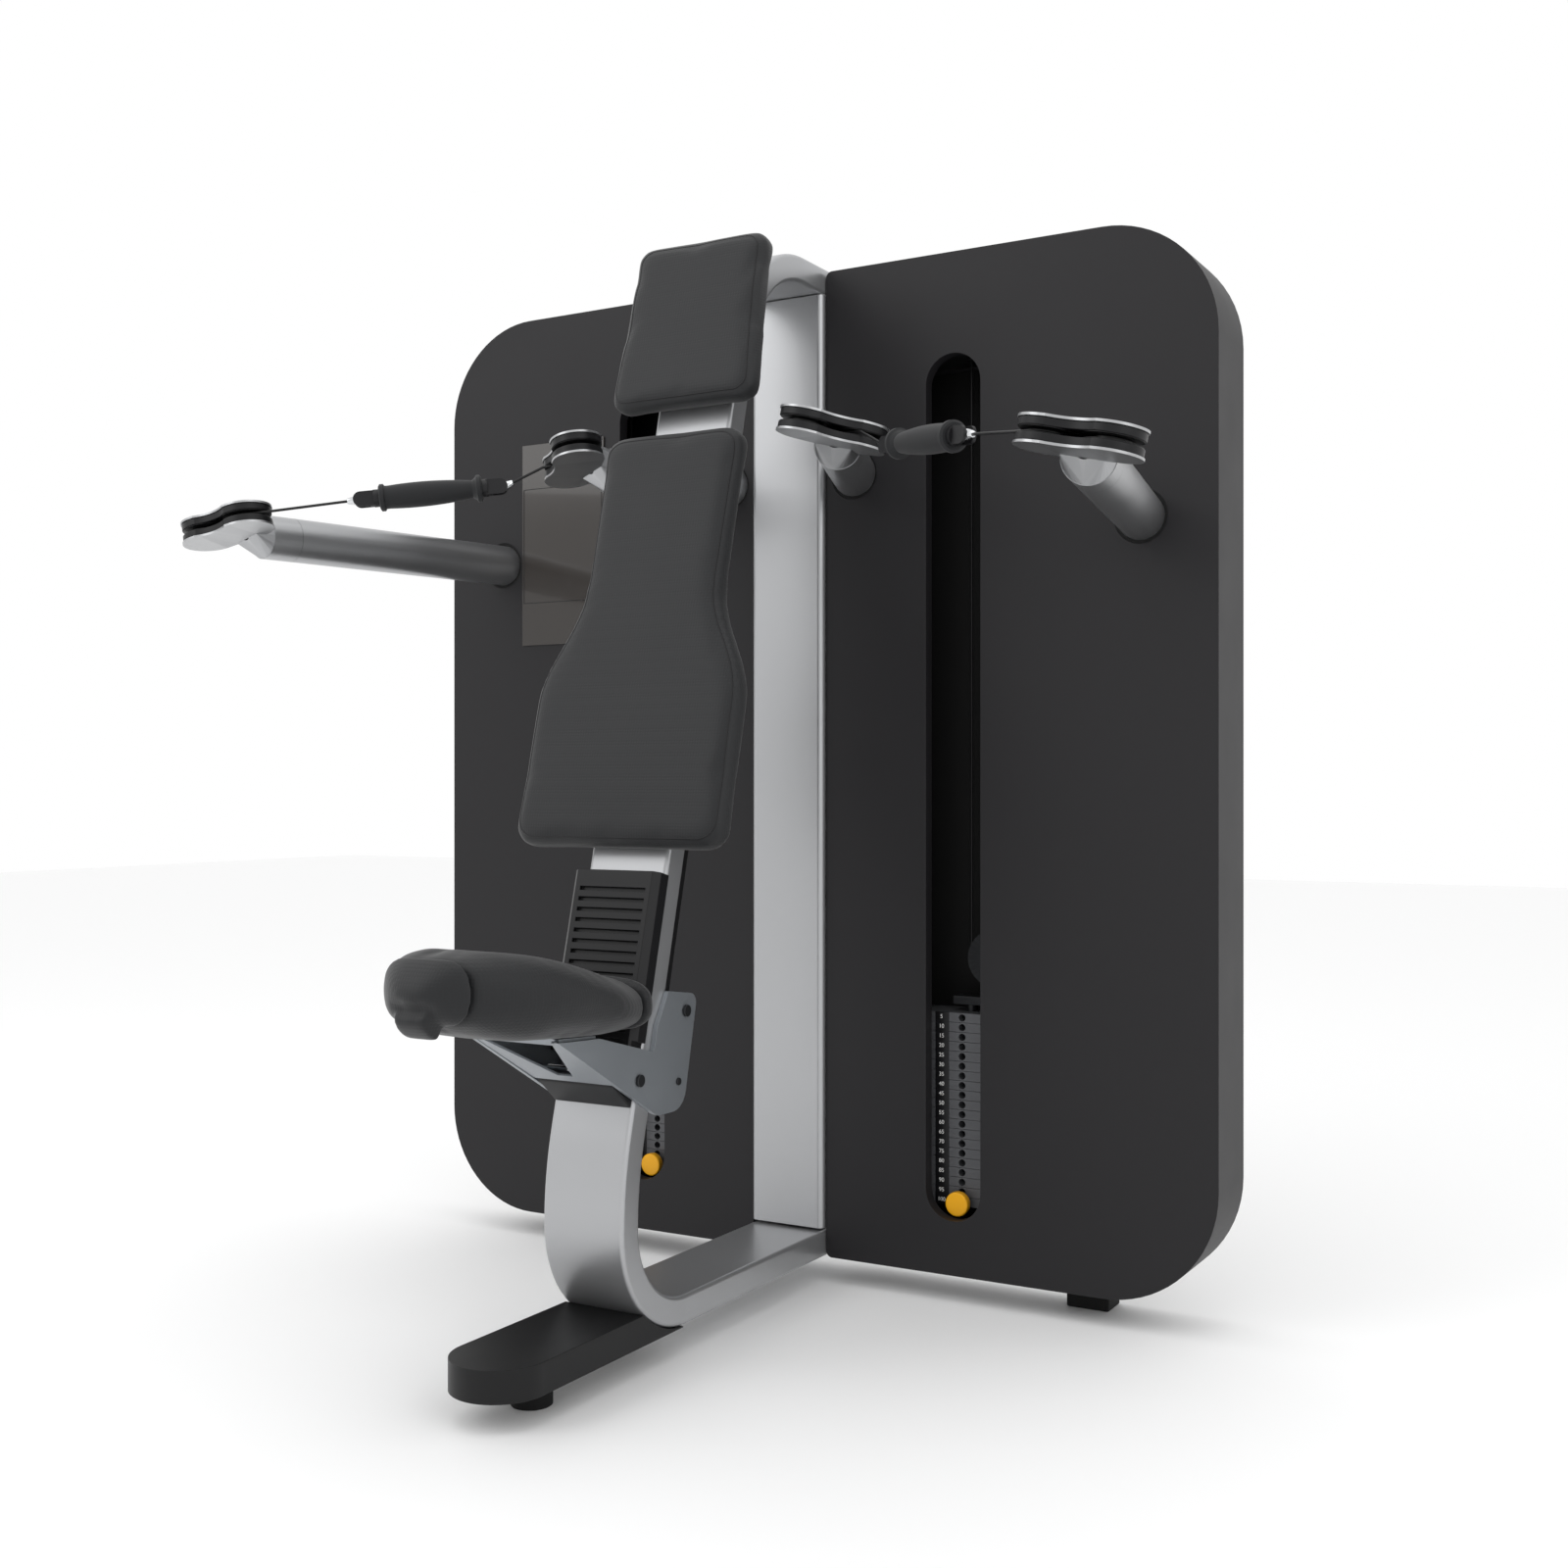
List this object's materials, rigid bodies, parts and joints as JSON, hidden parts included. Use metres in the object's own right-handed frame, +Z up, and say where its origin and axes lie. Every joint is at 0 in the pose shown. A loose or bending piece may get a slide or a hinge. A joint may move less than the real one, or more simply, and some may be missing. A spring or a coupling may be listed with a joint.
{
  "type": "cable press station",
  "caption": "Seated cable press station: two housed weight stacks, leaning seat post with pads, arms with swivel pulley heads and cable-hung handles.",
  "frame": {"origin": "middle of the footprint box, on the floor", "axes": "+Z up, +Y to the back (housings), X across, mirror plane X = 0"},
  "size_m": [1.4798, 0.988, 1.546],
  "materials": {
    "charcoal_housing": "fine moulded texture",
    "satin_silver": "satin metallic paint",
    "bracket_silver": "satin metallic paint",
    "arm_silver": "satin anodised",
    "black_paint": "fine texture powder coat",
    "foot_rubber": "matte",
    "black_plastic": "moulded, satin",
    "upholstery": "embossed leatherette",
    "smoked_panel": "smooth, glossy",
    "chrome": "polished",
    "dark_steel": "blackened",
    "plate_iron": "grey paint",
    "sheave_nylon": "turned",
    "yellow_knob": "moulded, satin",
    "grip_rubber": "moulded, satin",
    "handle_black": "powder coat",
    "cable_black": "nylon sheath"
  },
  "bodies": {
    "root": {"left_housing": "charcoal_housing", "right_housing": "charcoal_housing", "rear_covers": "charcoal_housing", "centre_column": "satin_silver", "column_spine": "black_paint", "base_beam": "satin_silver", "seat_post": "satin_silver", "nose_foot": "black_paint", "levelling_foot": "foot_rubber", "housing_feet": "foot_rubber", "post_rear_strip": "black_paint", "ribbed_cover": "black_plastic", "backrest_pad": "upholstery", "headrest_pad": "upholstery", "pad_plates": "black_plastic", "info_panel": "smoked_panel", "seat_bracket": "bracket_silver", "seat_pad": "upholstery", "seat_nose": "upholstery", "seat_rear_cap": "upholstery", "bracket_block": "black_plastic", "cross_rod": "chrome", "frame_bolts": "dark_steel", "left_outer_arm": "arm_silver", "left_inner_arm": "arm_silver", "right_outer_arm": "arm_silver", "right_inner_arm": "arm_silver", "left_stack_frame": "black_paint", "right_stack_frame": "black_paint", "guide_rods": "chrome", "guide_pulleys": "sheave_nylon", "stack_bumpers": "foot_rubber", "left_cable": "cable_black", "right_cable": "cable_black"},
    "left_stack": {"left_weight_plates": "plate_iron", "left_selector_stem": "dark_steel"},
    "left_pin": {"left_selector_pin": "yellow_knob"},
    "left_handle": {"left_handle_core": "handle_black"},
    "left_grip_sleeve": {"left_grip": "grip_rubber"},
    "left_outer_pulley_head": {"left_outer_head": "arm_silver", "left_outer_shells": "black_plastic"},
    "left_outer_front_wheel": {"left_outer_front_sheave": "sheave_nylon"},
    "left_outer_rear_wheel": {"left_outer_rear_sheave": "sheave_nylon"},
    "left_inner_pulley_head": {"left_inner_head": "arm_silver", "left_inner_shells": "black_plastic"},
    "left_inner_front_wheel": {"left_inner_front_sheave": "sheave_nylon"},
    "left_inner_rear_wheel": {"left_inner_rear_sheave": "sheave_nylon"},
    "right_stack": {"right_weight_plates": "plate_iron", "right_selector_stem": "dark_steel"},
    "right_pin": {"right_selector_pin": "yellow_knob"},
    "right_handle": {"right_handle_core": "handle_black"},
    "right_grip_sleeve": {"right_grip": "grip_rubber"},
    "right_outer_pulley_head": {"right_outer_head": "arm_silver", "right_outer_shells": "black_plastic"},
    "right_outer_front_wheel": {"right_outer_front_sheave": "sheave_nylon"},
    "right_outer_rear_wheel": {"right_outer_rear_sheave": "sheave_nylon"},
    "right_inner_pulley_head": {"right_inner_head": "arm_silver", "right_inner_shells": "black_plastic"},
    "right_inner_front_wheel": {"right_inner_front_sheave": "sheave_nylon"},
    "right_inner_rear_wheel": {"right_inner_rear_sheave": "sheave_nylon"}
  },
  "joints": [
    {"name": "left_stack_lift", "type": "slide", "parent": "root", "child": "left_stack", "axis": [0, 0, 1], "range_m": [0, 0.334], "deforming": ["left_cable"]},
    {"name": "left_pin_pull", "type": "slide", "parent": "left_stack", "child": "left_pin", "axis": [0, -1, 0], "range_m": [0, 0.06]},
    {"name": "left_handle_press", "type": "slide", "parent": "root", "child": "left_handle", "axis": [0, -0.9968, 0.08], "range_m": [0, 0.5]},
    {"name": "left_grip_spin", "type": "hinge", "parent": "left_handle", "child": "left_grip_sleeve", "pos_m": [-0.402, 0.007, 1.1895], "axis": [-0.8013, -0.5873, -0.1138], "continuous": true},
    {"name": "left_outer_swivel", "type": "hinge", "parent": "root", "child": "left_outer_pulley_head", "pos_m": [-0.559, 0.37, 1.131], "axis": [-0.1959, -0.9806, 0], "range_deg": [-90, 90]},
    {"name": "left_outer_front_spin", "type": "hinge", "parent": "left_outer_pulley_head", "child": "left_outer_front_wheel", "pos_m": [-0.62398, -0.14214, 1.14865], "axis": [-0.2005, 0.0401, 0.9789], "continuous": true},
    {"name": "left_outer_rear_spin", "type": "hinge", "parent": "left_outer_pulley_head", "child": "left_outer_rear_wheel", "pos_m": [-0.69937, -0.14554, 1.13335], "axis": [-0.2005, 0.0401, 0.9789], "continuous": true},
    {"name": "left_inner_swivel", "type": "hinge", "parent": "root", "child": "left_inner_pulley_head", "pos_m": [-0.112, 0.37, 1.228], "axis": [0.3714, 0.9285, 0], "range_deg": [-90, 90]},
    {"name": "left_inner_front_spin", "type": "hinge", "parent": "left_inner_pulley_head", "child": "left_inner_front_wheel", "pos_m": [-0.24418, 0.13361, 1.2307], "axis": [-0.1899, 0.0759, 0.9789], "continuous": true},
    {"name": "left_inner_rear_spin", "type": "hinge", "parent": "left_inner_pulley_head", "child": "left_inner_rear_wheel", "pos_m": [-0.19001, 0.08087, 1.2453], "axis": [-0.1899, 0.0759, 0.9789], "continuous": true},
    {"name": "right_stack_lift", "type": "slide", "parent": "root", "child": "right_stack", "axis": [0, 0, 1], "range_m": [0, 0.334], "deforming": ["right_cable"]},
    {"name": "right_pin_pull", "type": "slide", "parent": "right_stack", "child": "right_pin", "axis": [0, -1, 0], "range_m": [0, 0.06]},
    {"name": "right_handle_press", "type": "slide", "parent": "root", "child": "right_handle", "axis": [0, -0.9968, 0.08], "range_m": [0, 0.5]},
    {"name": "right_grip_spin", "type": "hinge", "parent": "right_handle", "child": "right_grip_sleeve", "pos_m": [0.402, 0.007, 1.1895], "axis": [0.8013, -0.5873, -0.1138], "continuous": true},
    {"name": "right_outer_swivel", "type": "hinge", "parent": "root", "child": "right_outer_pulley_head", "pos_m": [0.559, 0.37, 1.131], "axis": [-0.1959, 0.9806, 0], "range_deg": [-90, 90]},
    {"name": "right_outer_front_spin", "type": "hinge", "parent": "right_outer_pulley_head", "child": "right_outer_front_wheel", "pos_m": [0.62398, -0.14214, 1.14865], "axis": [0.2005, 0.0401, 0.9789], "continuous": true},
    {"name": "right_outer_rear_spin", "type": "hinge", "parent": "right_outer_pulley_head", "child": "right_outer_rear_wheel", "pos_m": [0.69937, -0.14554, 1.13335], "axis": [0.2005, 0.0401, 0.9789], "continuous": true},
    {"name": "right_inner_swivel", "type": "hinge", "parent": "root", "child": "right_inner_pulley_head", "pos_m": [0.112, 0.37, 1.228], "axis": [0.3714, -0.9285, 0], "range_deg": [-90, 90]},
    {"name": "right_inner_front_spin", "type": "hinge", "parent": "right_inner_pulley_head", "child": "right_inner_front_wheel", "pos_m": [0.24418, 0.13361, 1.2307], "axis": [0.1899, 0.0759, 0.9789], "continuous": true},
    {"name": "right_inner_rear_spin", "type": "hinge", "parent": "right_inner_pulley_head", "child": "right_inner_rear_wheel", "pos_m": [0.19001, 0.08087, 1.2453], "axis": [0.1899, 0.0759, 0.9789], "continuous": true}
  ],
  "couplings": [
    {"joint": "left_handle_press", "follows": "left_stack_lift", "ratio": 1.497},
    {"joint": "left_outer_swivel", "follows": "left_stack_lift", "rad_per_m": 0.1829},
    {"joint": "left_inner_swivel", "follows": "left_stack_lift", "rad_per_m": 0.1829},
    {"joint": "right_handle_press", "follows": "right_stack_lift", "ratio": 1.497},
    {"joint": "right_outer_swivel", "follows": "right_stack_lift", "rad_per_m": 0.1829},
    {"joint": "right_inner_swivel", "follows": "right_stack_lift", "rad_per_m": 0.1829}
  ]
}
